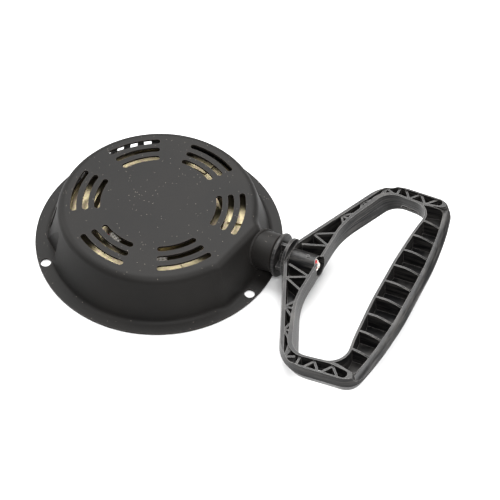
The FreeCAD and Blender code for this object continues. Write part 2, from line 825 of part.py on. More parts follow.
def truss_ribs(low, high):
    """Fans of three ribs that stand on the outer wall of each arm, then a zigzag down the side."""
    ribs = []
    for side in (-1, 1):
        def lay(start, end):
            here = (start[0], side * start[1])
            there = (end[0], side * end[1])
            ribs.append(bar(here, there, val("rib_width"), low, high))

        for v in (42.8, 59.4):
            foot = (23.6 + val("arm_slope") * (v - 37.1), v)
            for reach in (-7.4, -0.8, 6.4):
                across = 31.0 if v + reach < 38.0 else 31.0 + 0.36 * (v + reach - 38.0)
                lay(foot, (across, v + reach))
        wide = [(13.0, 9.5), (29.8, 14.5), (16.0, 20.5), (29.8, 27.0)]
        for start, end in zip(wide, wide[1:]):
            lay(start, end)
        corner = (43.6, 78.0)
        for end in ((41.8, 67.0), (44.6, 70.6), (49.4, 75.4)):
            lay(corner, end)
        lay((52.4, 74.0), (52.4, 82.0))
        spots = [(56.4, 81.6), (61.6, 74.2), (67.4, 81.2), (73.2, 73.2), (80.0, 80.6)]
        for start, end in zip(spots, spots[1:]):
            lay(start, end)
    return ribs


def grip_trough():
    """The deep trough of the grip, between the two partitions that end the trusses."""
    outer = [(bowed(val("grip_apex") - 5.6, -val("grip_bow"), v), v, 200.0) for v in (55.0, 25.0)]
    half = [(60.0, 69.4, 0.0), (86.6, 72.9, 3.0)] + outer
    area = block(rounded_wire(both_sides(half)), 2 * HALF_THICK)
    area.translate(Vector(0, 0, POCKET_FLOOR))
    kept = [opening_block(1.5)]
    for i in range(int(val("grip_ribs"))):
        v = (i - (val("grip_ribs") - 1) / 2) * val("grip_rib_pitch")
        kept.append(bar((60.0, v), (110.0, v), val("rib_width"), -HALF_THICK, HALF_THICK))
    return area.cut(kept)


def handle_base():
    """The round flange that seats on the tube, and the barrel that joins it to the arms."""
    x_axis = Vector(1, 0, 0)
    flange = Part.makeCylinder(val("flange_disc_radius"), 2.4, Vector(1.0, 0, 0), x_axis)
    flange = flange.makeFillet(0.8, [e for e in flange.Edges if e.Length > 50])
    collar = Part.makeCylinder(val("collar_radius"), 2.0, Vector(8.0, 0, 0), x_axis)
    core = Part.makeCylinder(5.4, 9.0, Vector(2.0, 0, 0), x_axis)
    cross = Part.makeBox(8.0, 23.2, 2.2, Vector(2.0, -11.6, -1.1))
    upright = Part.makeBox(8.0, 2.2, 23.2, Vector(2.0, -1.1, -11.6))
    webs = cross.fuse(upright).common(Part.makeCylinder(11.6, 12.0, Vector(2.0, 0, 0), x_axis))
    return [flange, collar, core, webs]


def make_handle():
    blank = handle_blank().common(grip_envelope()).cut(opening_block())
    channel = truss_channel()
    channel.translate(Vector(0, 0, POCKET_FLOOR))
    ribs = truss_ribs(-HALF_THICK, HALF_THICK - 1.2)
    hollow = channel.cut(ribs)
    ring = blank.cut([hollow, grip_trough()])
    x_axis = Vector(1, 0, 0)
    boss = Part.makeCylinder(val("boss_radius"), 21.2, Vector(9.4, 0, 0), x_axis)
    nub = Part.makeCylinder(1.1, 0.8, Vector(22.0, 0, val("boss_radius") - 0.3))
    solid = ring.fuse([boss, nub] + handle_base()).removeSplitter()
    bore = Part.makeCylinder(val("rope_radius") + 0.3, 40.0, Vector(0, 0, 0), x_axis)
    pocket = Part.makeCylinder(val("knot_pocket_radius"), 20.0, Vector(20.0, 0, 0), x_axis)
    # the pocket's mouth leans back, so that a thumb can push the knot in
    lean = math.radians(val("lip_lean"))
    lip_axis = Vector(math.cos(lean), 0, math.sin(lean))
    lip = Part.makeCylinder(val("knot_pocket_radius"), 12.0, Vector(val("lip_start"), 0, 0), lip_axis)
    return solid.cut([bore, pocket, lip])


shaped("handle", make_handle(), FLAT_ON_PULL)

washer = turned("knot_washer", [(cell("rope_radius") + 0.3, 20.0),
                                (cell("knot_pocket_radius") - 0.2, 20.0),
                                (cell("knot_pocket_radius") - 0.2, 21.2),
                                (cell("rope_radius") + 0.3, 21.2)])
washer.Placement = ALONG_PULL
knot_shape = Part.makeSphere(4.7, on_pull(26.0))
knot_shape = knot_shape.cut(Part.makeCylinder(8.0, 20.0, on_pull(24.0), PULL * -1))
shaped("handle_knot", knot_shape)


# ------------------------------------------------------------------ pawls, friction plate and fasteners
def pawl_foot(share):
    """Where a pawl's foot stands, seen from the reel, with the pawl at that share of its swing."""
    from_pivot = Rotation(Vector(0, 0, 1), -val("pawl_swing") * share).multVec(Vector(-3.2, 5.2, 0))
    return Vector(val("pawl_pivot_radius"), 0, 0) + from_pivot


def cam_slot_corners():
    """The slot in the friction plate that the foot runs in while the plate turns on the reel."""
    reach = val("pawl_foot_radius") + 0.5
    middles = []
    for share in (0.0, 0.5, 1.0):
        back = Rotation(Vector(0, 0, 1), -val("plate_turn") * share)
        middles.append(back.multVec(pawl_foot(share)))
    first = (middles[1] - middles[0]).normalize()
    last = (middles[2] - middles[1]).normalize()
    mean = (first + last).normalize()
    ends = [(middles[0] - first * reach, first), (middles[1], mean), (middles[2] + last * reach, last)]
    right = [spot + Vector(way.y, -way.x, 0) * reach for spot, way in ends]
    left = [spot - Vector(way.y, -way.x, 0) * reach for spot, way in ends]
    return [(round(p.x, 4), round(p.y, 4)) for p in right + list(reversed(left))]


def make_pawl_gear():
    under = val("groove_bottom") - val("reel_sheet")
    top = under - 0.2
    thick = val("pawl_thick")
    pivot = val("pawl_pivot_radius")
    pin = val("pawl_pin_radius")
    low = top - thick
    nub = pawl_foot(0.0)
    for label, turn in (("pawl_a", 0), ("pawl_b", 180)):
        lever = rounded_wire([(pivot + 3.6, -4.4, 3.0), (pivot + 4.6, 6.0, 6.0), (pivot + 2.6, 17.0, 0.6),
                              (pivot - 1.8, 18.2, 0.6), (pivot - 5.0, 8.0, 3.0), (pivot - 4.6, -4.4, 3.0)])
        pawl = block(lever, thick)
        pawl.translate(Vector(0, 0, low))
        pawl = pawl.cut(Part.makeCylinder(pin + 0.05, 20, Vector(pivot, 0, 0)))
        foot = Part.makeCylinder(val("pawl_foot_radius"), low - val("friction_plate_level"),
                                 Vector(nub.x, nub.y, val("friction_plate_level")))
        pawl = pawl.fuse(foot)
        pawl.rotate(Vector(), Vector(0, 0, 1), turn)
        shaped(label, pawl)
        wire = 0.3
        spring_level = low - 0.5
        ring = Part.makeTorus(3.5, wire, Vector(pivot, 0, spring_level))
        leg = Part.makeCylinder(wire, 6.0, Vector(pivot + 3.4, -0.2, spring_level), Vector(0.12, 1, 0))
        spring = ring.fuse(leg)
        spring.rotate(Vector(), Vector(0, 0, 1), turn)
        shaped(label.replace("pawl", "pawl_spring"), spring)
    pins = []
    for side in (-1, 1):
        shank = Part.makeCylinder(pin, under - low + 0.8, Vector(side * pivot, 0, low - 0.8))
        neck = Part.makeCylinder(pin - 0.5, val("reel_sheet"), Vector(side * pivot, 0, under))
        pins.append(shank.fuse(neck).removeSplitter())
    shaped("pawl_pins", Part.Compound(pins))


make_pawl_gear()


def make_friction_plate():
    """The plate that drags on the post and pushes the pawls out as the reel turns."""
    level = cell("friction_plate_level")
    thick = cell("friction_plate_thick")
    body = new_body("friction_plate")
    disc = new_sketch(body, "XY_Plane", "friction_disc", level)
    draw_circle(disc, 0.0, 0.0, cell("friction_plate_radius"))
    draw_circle(disc, 0.0, 0.0, cell("post_radius") + 0.1)
    padded(body, disc, "friction_disc_pad", thick)
    slots = new_sketch(body, "XY_Plane", "cam_slots", level - 1.0)
    draw_loop(slots, cam_slot_corners())
    pocket = pocketed(body, slots, "cam_slot", 4.0, True)
    repeated(body, pocket, "cam_slot_pair", 2)


make_friction_plate()
end = cell("post_end")
turned("friction_spring", [(cell("post_radius") + 0.2, end + 0.05), (9.6, end + 0.05),
                           (9.6, end + 0.55), (cell("post_radius") + 0.2, end + 0.55)])
turned("retaining_washer", [(3.1, end - 0.9), (10.5, end - 0.9), (10.5, end), (3.1, end)])
bolt = turned("centre_bolt", [(0.0, 0.2), (5.6, 0.2), (6.4, 0.8), (6.4, end - 0.9), (3.0, end - 0.9),
                              (3.0, 15.0), (0.0, 15.0)])
socket = new_sketch(bolt, "XY_Plane", "hex_socket")
hexagon = [polar(val("hex_socket_radius"), 60 * i) for i in range(6)]
draw_loop(socket, [(round(p.x, 4), round(p.y, 4)) for p in hexagon])
pocketed(bolt, socket, "hex_socket_cut", 1.5, True)


# ------------------------------------------------------------------ checks and export
def sub_parts():
    kinds = ("PartDesign::Body", "Part::Feature")
    return [o for o in doc.Objects if o.TypeId in kinds and not o.getParentGeoFeatureGroup()]


def export_all():
    doc.recompute()
    failed = [o.Name for o in doc.Objects if "Invalid" in o.State or "Error" in o.State]
    if failed:
        raise RuntimeError(f"failed objects: {failed}")
    parts = sub_parts()
    for part in parts:
        if part.Shape.isNull() or not part.Shape.isValid() or not part.Shape.Solids:
            raise RuntimeError(f"{part.Label} has no valid shape")
    os.makedirs("parts", exist_ok=True)
    for part in parts:
        part.Shape.exportStep(f"parts/{part.Label}.step")
    print(len(parts), "sub-parts written")


export_all()
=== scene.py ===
# %% [markdown]
# # A pull starter, finished and lit
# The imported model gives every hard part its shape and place. This lesson adds what comes last: a
# camera, soft light, a finish for every part, and the pieces that are better made in Blender than in
# CAD, which here are the braided rope, its knots, the weld round the outlet and the two wire springs.

# %% Load the frame
import json
import math

import bpy
from mathutils import Matrix, Vector


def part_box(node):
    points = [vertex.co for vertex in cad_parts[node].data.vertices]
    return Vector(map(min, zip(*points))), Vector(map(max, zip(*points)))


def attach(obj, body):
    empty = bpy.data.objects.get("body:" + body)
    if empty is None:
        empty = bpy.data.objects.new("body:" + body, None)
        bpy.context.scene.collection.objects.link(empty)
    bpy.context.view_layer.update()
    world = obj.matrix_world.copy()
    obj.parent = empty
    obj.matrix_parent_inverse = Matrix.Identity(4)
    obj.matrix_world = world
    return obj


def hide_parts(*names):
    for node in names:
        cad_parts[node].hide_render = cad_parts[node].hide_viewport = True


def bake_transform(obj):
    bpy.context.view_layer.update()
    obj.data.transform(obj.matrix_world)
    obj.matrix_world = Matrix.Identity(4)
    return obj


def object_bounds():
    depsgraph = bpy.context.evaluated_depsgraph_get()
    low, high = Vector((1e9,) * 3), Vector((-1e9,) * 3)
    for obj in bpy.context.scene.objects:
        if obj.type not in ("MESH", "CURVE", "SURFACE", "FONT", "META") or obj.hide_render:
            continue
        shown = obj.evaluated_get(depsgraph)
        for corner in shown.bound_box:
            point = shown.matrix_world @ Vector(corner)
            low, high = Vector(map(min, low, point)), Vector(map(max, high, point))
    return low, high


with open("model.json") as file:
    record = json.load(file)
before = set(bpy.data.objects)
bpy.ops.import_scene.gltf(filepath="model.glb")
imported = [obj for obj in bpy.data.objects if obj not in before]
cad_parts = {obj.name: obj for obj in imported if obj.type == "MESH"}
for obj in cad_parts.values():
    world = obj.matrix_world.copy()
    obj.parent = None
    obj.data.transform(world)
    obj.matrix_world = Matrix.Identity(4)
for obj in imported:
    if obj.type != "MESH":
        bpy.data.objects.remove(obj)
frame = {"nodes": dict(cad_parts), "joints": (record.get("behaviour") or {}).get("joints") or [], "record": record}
cad_low, cad_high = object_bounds()
nodes = frame["nodes"]
joints = {joint["name"]: joint for joint in frame["joints"]}
MM = 0.001
bpy.ops.object.select_all(action="DESELECT")
print("CAD box in mm", [round(v / MM, 1) for v in (*cad_low, *cad_high)])

# %% [markdown]
# ## Camera
# A long lens a good arm's length away keeps the dome's ellipse calm. The camera is placed in
# millimetres, then turned by its azimuth, its height angle and a small roll.

# %% Camera
AZIMUTH = math.radians(25.2)
ELEVATION = math.radians(50.68)
ROLL = math.radians(2.92)
CAMERA_PLACE = Vector((265.8, -419.15, 588.88)) * MM
LENS_MM = 80.88

camera_data = bpy.data.cameras.new("camera")
camera_data.lens = LENS_MM
camera_data.clip_start = 0.01
camera = bpy.data.objects.new("camera", camera_data)
bpy.context.scene.collection.objects.link(camera)
turn = (Matrix.Rotation(AZIMUTH, 4, "Z") @ Matrix.Rotation(math.pi / 2 - ELEVATION, 4, "X")
        @ Matrix.Rotation(ROLL, 4, "Z"))
camera.matrix_world = Matrix.Translation(CAMERA_PLACE) @ turn
bpy.context.scene.camera = camera
print("camera looks along", [round(v, 3) for v in turn.to_3x3() @ Vector((0, 0, -1))])

# %% [markdown]
# ## Small helpers
# Colours are written as sRGB hex, as a paint maker gives them, and shaders want linear numbers.
# Every node of every finish is added by one function, which sets or links its inputs by name. A
# Math node's inputs share one name and a Mix node's colours share theirs with other kinds of
# input, so those are set by number.

# %% Helpers for finishes
def hex_colour(code):
    """An sRGB colour such as '4A4847' as linear red, green, blue and alpha."""
    parts = [int(code[i:i + 2], 16) / 255 for i in (0, 2, 4)]
    return [c / 12.92 if c <= 0.04045 else ((c + 0.055) / 1.055) ** 2.4 for c in parts] + [1.0]


def add_node(tree, kind, inputs=(), **settings):
    """Adds a node. inputs maps an input's name or number to a value or to a socket that feeds it."""
    node = tree.nodes.new(kind)
    for name, value in settings.items():
        setattr(node, name, value)
    for key, value in dict(inputs).items():
        if isinstance(value, bpy.types.NodeSocket):
            tree.links.new(value, node.inputs[key])
        else:
            node.inputs[key].default_value = value
    return node


# where a Mix node of colours takes its two colours and gives its result
COLOUR_A = 6
COLOUR_B = 7
MIXED = 2


def per_metre(size_mm):
    """The texture scale whose features are about size_mm across."""
    return 1.0 / (size_mm * MM)


# %% [markdown]
# ## Floor and light
# A pale table under a big soft lamp, with two weaker lamps to the sides. The big one hangs above
# and behind, so faces that look up are lighter than faces that look at the camera. A small one near
# the camera reaches into the vents. Together they wash the table out to plain white, as in a
# catalogue.

# %% Floor and light
def soft_lamp(name, place, aim, size, power):
    """A round area lamp that shines from place towards aim."""
    data = bpy.data.lights.new(name, "AREA")
    data.shape = "DISK"
    data.size = size
    data.energy = power
    lamp = bpy.data.objects.new(name, data)
    bpy.context.scene.collection.objects.link(lamp)
    lamp.location = place
    lamp.rotation_euler = (Vector(aim) - Vector(place)).to_track_quat("-Z", "Y").to_euler()


middle = (cad_low + cad_high) / 2
soft_lamp("top_softbox", (-0.22, 0.60, 1.20), middle, 1.2, 38.0)
soft_lamp("front_softbox", (0.38, -0.56, 1.02), middle, 0.4, 11.0)
soft_lamp("left_softbox", (-1.1, -0.1, 0.75), middle, 0.7, 13.0)
soft_lamp("right_softbox", (1.2, 0.3, 0.8), middle, 0.7, 13.0)

world = bpy.data.worlds.new("studio")
world.use_nodes = True
world.node_tree.nodes["Background"].inputs["Color"].default_value = (1, 1, 1, 1)
world.node_tree.nodes["Background"].inputs["Strength"].default_value = 0.33
bpy.context.scene.world = world
bpy.context.scene.view_settings.view_transform = "Standard"

TABLE_SIDE = 6.0
TABLE_GAP = 0.2 * MM
bpy.ops.mesh.primitive_plane_add(size=TABLE_SIDE, location=(0.0, 0.0, cad_low.z - TABLE_GAP))
table = bpy.context.object
table.name = "table"
table_paint = bpy.data.materials.new("white_table")
table_paint.use_nodes = True
table_shader = table_paint.node_tree.nodes["Principled BSDF"]
table_shader.inputs["Base Color"].default_value = hex_colour("D6D6D6")
table_shader.inputs["Roughness"].default_value = 0.9
table.data.materials.append(table_paint)

# %% [markdown]
# ## Powder coat
# The case is deep-drawn steel with a baked powder coat: a satin charcoal that dries with a fine
# orange peel, a little dust on its top, and edges painted lighter, partly where the coat is thinner
# and partly as a painted highlight. The peel is a bump from noise. The dust is a sparse Voronoi
# pattern kept to faces that look up. The lighter edges come from a Bevel node: they are where its
# rounded normal parts from the true one.

# %% Powder coat
def new_finish(name, colour, roughness, metallic=0.0):
    """A material, with its node tree, its shader and the socket that patterns read their place from."""
    material = bpy.data.materials.new(name)
    material.use_nodes = True
    tree = material.node_tree
    shader = tree.nodes["Principled BSDF"]
    shader.inputs["Base Color"].default_value = hex_colour(colour)
    shader.inputs["Roughness"].default_value = roughness
    shader.inputs["Metallic"].default_value = metallic
    place = add_node(tree, "ShaderNodeTexCoord").outputs["Object"]
    return material, tree, shader, place


def edge_wear_and_highlight(tree, radius_mm, softness):
    """A socket that is 1 on sharp edges and 0 on the flats between them; the finishes paint these edges lighter,
    part wear and part painted highlight.
    """
    rounded = add_node(tree, "ShaderNodeBevel", {"Radius": radius_mm * MM}, samples=4)
    true_normal = add_node(tree, "ShaderNodeNewGeometry").outputs["Normal"]
    likeness = add_node(tree, "ShaderNodeVectorMath", {0: rounded.outputs[0], 1: true_normal},
                        operation="DOT_PRODUCT")
    return add_node(tree, "ShaderNodeMapRange", {"Value": likeness.outputs["Value"], "From Min": 1.0,
                                                 "From Max": 1.0 - softness}).outputs[0]


def powder_coat():
    material, tree, shader, place = new_finish("powder_coated_steel", "121211", 0.56)
    shader.inputs["Specular IOR Level"].default_value = 0.15
    cloud = add_node(tree, "ShaderNodeTexNoise", {"Vector": place, "Scale": per_metre(38), "Detail": 4.0})
    coat = add_node(tree, "ShaderNodeMix", {
        "Factor": cloud.outputs["Fac"], COLOUR_A: hex_colour("0D0D0D"), COLOUR_B: hex_colour("191715"),
    }, data_type="RGBA").outputs[MIXED]
    # edges painted lighter in 3F3935: partly where the coat is thinner, partly a painted highlight
    coat_edge_and_highlight = add_node(tree, "ShaderNodeMix", {
        "Factor": edge_wear_and_highlight(tree, 0.6, 0.4), COLOUR_A: coat, COLOUR_B: hex_colour("3F3935"),
    }, data_type="RGBA").outputs[MIXED]
    # dust: grains in cells of 2.8 mm, drawn about 0.4 mm across so that they show
    grains = add_node(tree, "ShaderNodeTexVoronoi", {"Vector": place, "Scale": per_metre(2.8)})
    grain = add_node(tree, "ShaderNodeMath", {0: grains.outputs["Distance"], 1: 0.07}, operation="LESS_THAN")
    normal = add_node(tree, "ShaderNodeNewGeometry").outputs["Normal"]
    facing = add_node(tree, "ShaderNodeSeparateXYZ", {"Vector": normal})
    level = add_node(tree, "ShaderNodeMath", {0: facing.outputs["Z"], 1: 0.8}, operation="GREATER_THAN")
    dust = add_node(tree, "ShaderNodeMath", {0: grain.outputs[0], 1: level.outputs[0]},
                    operation="MULTIPLY").outputs[0]
    dusty = add_node(tree, "ShaderNodeMix", {
        "Factor": dust, COLOUR_A: coat_edge_and_highlight, COLOUR_B: hex_colour("79736A"),
    }, data_type="RGBA").outputs[MIXED]
    tree.links.new(dusty, shader.inputs["Base Color"])
    peel = add_node(tree, "ShaderNodeTexNoise", {"Vector": place, "Scale": per_metre(1.4), "Detail": 2.0})
    bump = add_node(tree, "ShaderNodeBump", {"Height": peel.outputs["Fac"], "Strength": 0.35,
                                             "Distance": 0.12 * MM})
    tree.links.new(bump.outputs[0], shader.inputs["Normal"])
    return material


# %% [markdown]
# ## Moulded nylon
# The handle is glass-filled nylon, moulded black. The filler leaves a grey, faintly streaked skin
# whose gloss changes from streak to streak. The plastic flowed round the D, so a streak is noise
# that changes fast with the height over the middle plane and slowly along it. The seam where the
# mould's halves met is a fine raised line on that plane.

# %% Moulded nylon
PULL = Vector(joints["handle_pull"]["axis"]).normalized()
RIM = Vector(joints["handle_twist"]["pos_m"])
ACROSS = PULL.cross(Vector((0, 1, 0))) * -1


def moulded_nylon(name, colour, streak_colour, seam=False):
    material, tree, shader, place = new_finish(name, colour, 0.46)
    shader.inputs["Specular IOR Level"].default_value = 0.25
    from_rim = add_node(tree, "ShaderNodeVectorMath", {0: place, 1: RIM}, operation="SUBTRACT").outputs[0]
    height = add_node(tree, "ShaderNodeVectorMath", {0: from_rim, 1: ACROSS},
                      operation="DOT_PRODUCT").outputs["Value"]
    lifted = add_node(tree, "ShaderNodeCombineXYZ", {"Z": height}).outputs[0]
    flow = add_node(tree, "ShaderNodeVectorMath", {0: place, 1: (0.05, 0.05, 0.0), 2: lifted},
                    operation="MULTIPLY_ADD").outputs[0]
    streaks = add_node(tree, "ShaderNodeTexNoise", {
        "Vector": flow, "Scale": per_metre(1.1), "Detail": 3.0, "Roughness": 0.65,
    }).outputs["Fac"]
    lines = add_node(tree, "ShaderNodeMapRange", {"Value": streaks, "From Min": 0.45,
                                                  "From Max": 0.72}).outputs[0]
    skin = add_node(tree, "ShaderNodeMix", {
        "Factor": lines, COLOUR_A: hex_colour(colour), COLOUR_B: hex_colour(streak_colour),
    }, data_type="RGBA").outputs[MIXED]
    # edges painted lighter in 6E6C6A: partly scuffs, partly a painted highlight
    skin_edge_scuffs_and_highlight = add_node(tree, "ShaderNodeMix", {
        "Factor": edge_wear_and_highlight(tree, 0.5, 0.25), COLOUR_A: skin, COLOUR_B: hex_colour("6E6C6A"),
    }, data_type="RGBA").outputs[MIXED]
    tree.links.new(skin_edge_scuffs_and_highlight, shader.inputs["Base Color"])
    gloss = add_node(tree, "ShaderNodeMapRange", {"Value": streaks, "To Min": 0.28, "To Max": 0.5})
    tree.links.new(gloss.outputs[0], shader.inputs["Roughness"])
    grain = add_node(tree, "ShaderNodeTexNoise", {"Vector": place, "Scale": per_metre(0.6), "Detail": 2.0})
    # streaks stand out as fine ridges, and grain lies over them
    relief = add_node(tree, "ShaderNodeMath", {0: streaks, 1: 2.0, 2: grain.outputs["Fac"]},
                      operation="MULTIPLY_ADD").outputs[0]
    if seam:
        # the seam is drawn 0.5 mm wide so that it shows
        distance = add_node(tree, "ShaderNodeMath", {0: height}, operation="ABSOLUTE").outputs[0]
        line = add_node(tree, "ShaderNodeMapRange", {
            "Value": distance, "From Min": 0.0, "From Max": 0.5 * MM, "To Min": 2.5, "To Max": 0.0,
        }).outputs[0]
        relief = add_node(tree, "ShaderNodeMath", {0: relief, 1: line}, operation="ADD").outputs[0]
    bump = add_node(tree, "ShaderNodeBump", {"Height": relief, "Strength": 0.5, "Distance": 0.12 * MM})
    tree.links.new(bump.outputs[0], shader.inputs["Normal"])
    return material


# %% [markdown]
# ## Plated and bare metals
# The reel is yellow-chromated zinc, the fasteners are clear zinc, the pawls are hardened steel and
# the spring is blued strip. All are metals with a mottled colour and a mottled gloss, so one function
# makes them: two tints mixed by noise, and a roughness that drifts with a finer noise. Chromate is
# thin enough to shimmer, which a third tint in small patches gives.

# %% Metals
def mottled_metal(name, tints, roughness, patch_mm):
    """tints are two main colours and a third that shows in small patches."""
    material, tree, shader, place = new_finish(name, tints[0], roughness, 1.0)
    main_tint, second_tint, patch_tint = [hex_colour(tint) for tint in tints]
    patches = add_node(tree, "ShaderNodeTexNoise", {"Vector": place, "Scale": per_metre(patch_mm),
                                                    "Detail": 3.0, "Distortion": 0.6})
    main = add_node(tree, "ShaderNodeMix", {
        "Factor": patches.outputs["Fac"], COLOUR_A: main_tint, COLOUR_B: second_tint,
    }, data_type="RGBA").outputs[MIXED]
    fine = add_node(tree, "ShaderNodeTexNoise", {"Vector": place, "Scale": per_metre(patch_mm / 3),
                                                 "Detail": 2.0}).outputs["Fac"]
    shimmer = add_node(tree, "ShaderNodeMapRange", {"Value": fine, "From Min": 0.52,
                                                    "From Max": 0.66}).outputs[0]
    tint = add_node(tree, "ShaderNodeMix", {
        "Factor": shimmer, COLOUR_A: main, COLOUR_B: patch_tint,
    }, data_type="RGBA").outputs[MIXED]
    tree.links.new(tint, shader.inputs["Base Color"])
    drift = add_node(tree, "ShaderNodeMapRange", {"Value": fine, "To Min": roughness - 0.1,
                                                  "To Max": roughness + 0.12})
    tree.links.new(drift.outputs[0], shader.inputs["Roughness"])
    scratches = add_node(tree, "ShaderNodeTexNoise", {"Vector": place, "Scale": per_metre(0.7)})
    bump = add_node(tree, "ShaderNodeBump", {"Height": scratches.outputs["Fac"], "Strength": 0.25,
                                             "Distance": 0.05 * MM})
    tree.links.new(bump.outputs[0], shader.inputs["Normal"])
    return material


# %% [markdown]
# ## Braided polyester
# Starter rope is white polyester braid with a red tracer strand. The plaits cross in diamonds, so
# the pattern is two families of helices multiplied together. Along the rope it needs the distance
# in metres and round it the share of a turn. The wound rope keeps both in its UV map. The stretch
# between the tube and the handle grows when the handle is pulled, so its pattern reads the distance
# along the pull line instead, and the plaits keep their size however far the handle goes.

# %% Braided polyester
PLAIT_PITCH = 5.0 * MM
PLAITS_ROUND = 4
TAU = 2 * math.pi


def braided_polyester(name, along_pull):
    material, tree, shader, place = new_finish(name, "CFC8BA", 0.82)
    shader.inputs["Sheen Weight"].default_value = 0.25
    if along_pull:
        offset = add_node(tree, "ShaderNodeVectorMath", {0: place, 1: RIM}, operation="SUBTRACT").outputs[0]
        along = add_node(tree, "ShaderNodeVectorMath", {0: offset, 1: PULL},
                         operation="DOT_PRODUCT").outputs["Value"]
        high = add_node(tree, "ShaderNodeVectorMath", {0: offset, 1: ACROSS},
                        operation="DOT_PRODUCT").outputs["Value"]
        side = add_node(tree, "ShaderNodeSeparateXYZ", {"Vector": offset}).outputs["Y"]
        angle = add_node(tree, "ShaderNodeMath", {0: high, 1: side}, operation="ARCTAN2").outputs[0]
        around = add_node(tree, "ShaderNodeMath", {0: angle, 1: TAU}, operation="DIVIDE").outputs[0]
    else:
        rope_map = add_node(tree, "ShaderNodeUVMap", uv_map="rope").outputs[0]
        split = add_node(tree, "ShaderNodeSeparateXYZ", {"Vector": rope_map})
        along = split.outputs["X"]
        around = split.outputs["Y"]
    turns = add_node(tree, "ShaderNodeMath", {0: along, 1: PLAIT_PITCH}, operation="DIVIDE").outputs[0]
    leans = []
    waves = []
    for way in (1, -1):
        lean = add_node(tree, "ShaderNodeMath", {0: around, 1: way * PLAITS_ROUND, 2: turns},
                        operation="MULTIPLY_ADD").outputs[0]
        phase = add_node(tree, "ShaderNodeMath", {0: lean, 1: TAU}, operation="MULTIPLY").outputs[0]
        leans.append(lean)
        waves.append(add_node(tree, "ShaderNodeMath", {0: phase}, operation="SINE").outputs[0])
    plait = add_node(tree, "ShaderNodeMath", {0: waves[0], 1: waves[1]}, operation="MULTIPLY").outputs[0]
    # the tracer is one strand in four of the family that leans one way
    share = add_node(tree, "ShaderNodeMath", {0: leans[0], 1: 1.0 / PLAITS_ROUND},
                     operation="MULTIPLY").outputs[0]
    strand = add_node(tree, "ShaderNodeMath", {0: share}, operation="FRACT").outputs[0]
    tracer = add_node(tree, "ShaderNodeMath", {0: strand, 1: 1.0 / PLAITS_ROUND},
                      operation="LESS_THAN").outputs[0]
    # the grooves between the plaits are painted darker, in A39B8E: painted shade
    groove_shade = add_node(tree, "ShaderNodeMapRange", {"Value": plait, "From Min": -1.0,
                                                  "From Max": 0.6}).outputs[0]
    yarn_with_groove_shade = add_node(tree, "ShaderNodeMix", {
        "Factor": groove_shade, COLOUR_A: hex_colour("A39B8E"), COLOUR_B: hex_colour("F4F1EA"),
    }, data_type="RGBA").outputs[MIXED]
    traced = add_node(tree, "ShaderNodeMix", {
        "Factor": tracer, COLOUR_A: yarn_with_groove_shade, COLOUR_B: hex_colour("C0202A"),
    }, data_type="RGBA").outputs[MIXED]
    tree.links.new(traced, shader.inputs["Base Color"])
    bump = add_node(tree, "ShaderNodeBump", {"Height": plait, "Strength": 0.7, "Distance": 0.25 * MM})
    tree.links.new(bump.outputs[0], shader.inputs["Normal"])
    return material


# %% [markdown]
# ## Hand the finishes out
# The record says which finish each part takes, so the CAD parts are dressed in one loop.

# %% Dress the CAD parts
finish = {
    "case_powder_coat": powder_coat(),
    "handle_plastic": moulded_nylon("glass_filled_nylon", "0A0A0B", "3C3A38", seam=True),
    "yellow_zinc": mottled_metal("yellow_chromated_zinc", ("666049", "8F866B", "7B6A60"), 0.38, 5.0),
    "clear_zinc": mottled_metal("clear_zinc_plate", ("B9BBBE", "C9CACC", "A7AAB4"), 0.32, 4.0),
    "pawl_steel": mottled_metal("hardened_steel", ("7D7A76", "8F8C88", "6B675F"), 0.38, 3.0),
    "spring_steel": mottled_metal("blued_spring_strip", ("4E525C", "5E6068", "6A5F55"), 0.32, 5.0),
    "bearing_bronze": mottled_metal("sintered_bronze", ("A07A45", "B28B52", "7E6138"), 0.48, 1.5),
    "guide_nylon": moulded_nylon("hard_guide_nylon", "141414", "1E1E1E"),
    "starter_rope": braided_polyester("braided_polyester", along_pull=False),
}
for part in frame["record"]["subparts"]:
    mesh = nodes[part["node"]].data
    mesh.materials.clear()
    mesh.materials.append(finish[part["material_slot"]])

# %% [markdown]
# ## The rope on the reel
# The rope lies on the reel in one flat spiral, each turn a rope's width outside the last. The CAD
# holds it as a plain tube. Here the same spiral is a smooth curve, and a tube with real plaits is
# swept along it: every ring's radius follows the crossing helices of the braid. The spiral is half
# turns whose centres step from side to side, so it grows by half a rope each time.

# %% Helpers for rope and wire
def smooth_route(name, corners, steps=12):
    """The points of a smooth curve drawn by corners."""
    curve = bpy.data.curves.new(name, "CURVE")
    curve.dimensions = "3D"
    curve.resolution_u = steps
    spline = curve.splines.new("NURBS")
    spline.points.add(len(corners) - 1)
    for point, corner in zip(spline.points, corners):
        point.co = (*corner, 1.0)
    spline.order_u = 3
    spline.use_endpoint_u = True
    holder = bpy.data.objects.new(name, curve)
    line = bpy.data.meshes.new_from_object(holder)
    route = [vertex.co.copy() for vertex in line.vertices]
    bpy.data.objects.remove(holder)
    bpy.data.curves.remove(curve)
    bpy.data.meshes.remove(line)
    return route


def evenly(route, spacing):
    """The same route as points an even distance apart."""
    lengths = [0.0]
    for a, b in zip(route, route[1:]):
        lengths.append(lengths[-1] + (b - a).length)
    count = max(2, round(lengths[-1] / spacing))
    points = []
    i = 0
    for step in range(count + 1):
        goal = lengths[-1] * step / count
        while i < len(route) - 2 and lengths[i + 1] < goal:
            i += 1
        share = (goal - lengths[i]) / max(lengths[i + 1] - lengths[i], 1e-9)
        points.append(route[i].lerp(route[i + 1], share))
    return points, lengths[-1]


